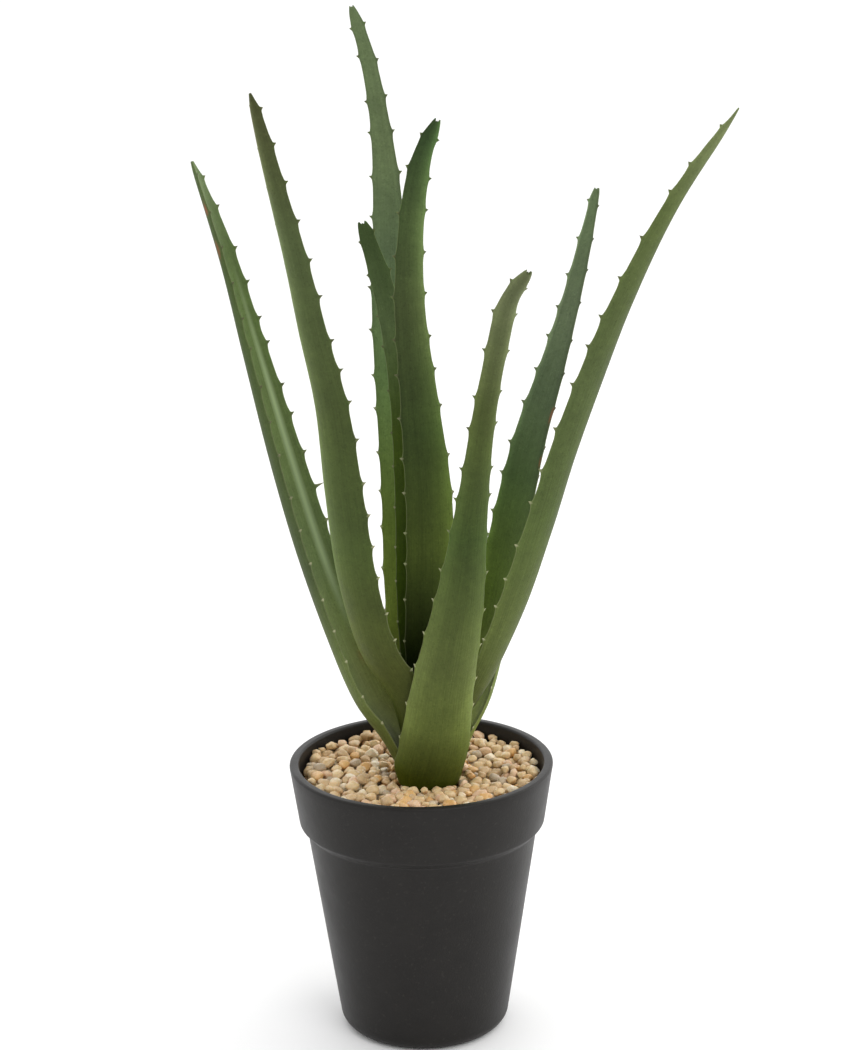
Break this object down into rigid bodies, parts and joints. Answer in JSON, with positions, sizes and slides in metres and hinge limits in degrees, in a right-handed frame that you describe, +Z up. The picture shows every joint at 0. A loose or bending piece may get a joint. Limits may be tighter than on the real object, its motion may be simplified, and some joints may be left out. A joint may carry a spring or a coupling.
{
  "type": "potted aloe plant",
  "caption": "Upright aloe with long toothed leaves rising from a short stem, in a tapered charcoal pot with a plain collar and a pebble top dressing.",
  "frame": {"origin": "centre of the pot's flat underside, on the surface it stands on", "axes": "+Z up along the pot's axis; the front, where the front leaf leans out, looks along -Y; +X is to the right of it"},
  "size_m": [0.2523, 0.2222, 0.4963],
  "materials": {
    "pot": "matte charcoal, faintly mottled",
    "soil": "dull crumbly peat",
    "pebbles": "water-worn, cream to amber",
    "stem": "dull green-brown",
    "leaf": "powdery matt green"
  },
  "bodies": {
    "root": {"pot": "pot", "potting_soil": "soil", "gravel_bed": "pebbles", "stem": "stem", "leaf_front": "leaf", "leaf_left": "leaf", "leaf_right_rear": "leaf", "leaf_right": "leaf", "leaf_rear_tall": "leaf", "leaf_left_front": "leaf", "leaf_inner_short": "leaf", "leaf_centre": "leaf", "pebble_01": "pebbles", "pebble_02": "pebbles", "pebble_03": "pebbles", "pebble_04": "pebbles", "pebble_05": "pebbles", "pebble_06": "pebbles", "pebble_07": "pebbles", "pebble_08": "pebbles", "pebble_09": "pebbles", "pebble_10": "pebbles", "pebble_11": "pebbles", "pebble_12": "pebbles", "pebble_13": "pebbles", "pebble_14": "pebbles", "pebble_15": "pebbles", "pebble_16": "pebbles", "pebble_17": "pebbles", "pebble_18": "pebbles", "pebble_19": "pebbles", "pebble_20": "pebbles", "pebble_21": "pebbles", "pebble_22": "pebbles", "pebble_23": "pebbles", "pebble_24": "pebbles", "pebble_25": "pebbles", "pebble_26": "pebbles", "pebble_27": "pebbles", "pebble_28": "pebbles", "pebble_29": "pebbles", "pebble_30": "pebbles", "pebble_31": "pebbles", "pebble_32": "pebbles"}
  },
  "joints": []
}
